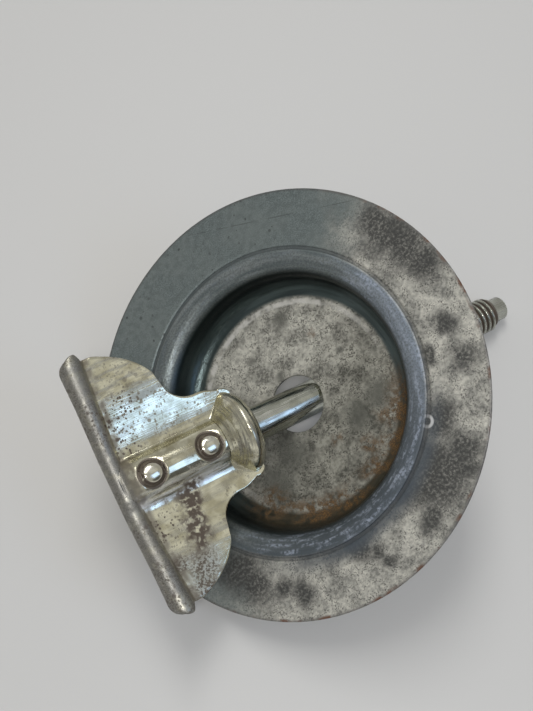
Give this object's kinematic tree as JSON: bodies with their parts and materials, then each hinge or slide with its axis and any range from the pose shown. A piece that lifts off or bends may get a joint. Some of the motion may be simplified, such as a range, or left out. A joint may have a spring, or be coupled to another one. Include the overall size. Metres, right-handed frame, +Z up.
{
  "type": "wing bolt with dished retainer plate",
  "caption": "Threaded bolt with a folded sheet wing riveted to its end, loose in the hole of a round dished retainer plate, as used to clamp down a spare wheel.",
  "frame": {"origin": "middle of the bounding box's footprint, on the table", "axes": "+Z up from the table, +X along the bolt's run towards its threaded tip, the part lying as pictured on the dish's rim and the bolt's thread"},
  "size_m": [0.121, 0.1078, 0.0553],
  "materials": {
    "galvanised_sheet": "worn galvanised steel sheet, blotched, rust in the cup's corner",
    "zinc_rod": "bright zinc plate",
    "zinc_sheet": "bright zinc plate with a yellow tint, pitted",
    "zinc_rivet": "bright zinc plate"
  },
  "bodies": {
    "dish": {"retainer_dish": "galvanised_sheet"},
    "wing_bolt": {"bolt": "zinc_rod", "wing": "zinc_sheet", "rivet_inner": "zinc_rivet", "rivet_outer": "zinc_rivet"}
  },
  "joints": [
    {"name": "bolt_tilt", "type": "hinge", "parent": "dish", "child": "wing_bolt", "pos_m": [-0.00658, 0, 0.01928], "axis": [0, 1, 0], "range_deg": [0, 92]}
  ]
}
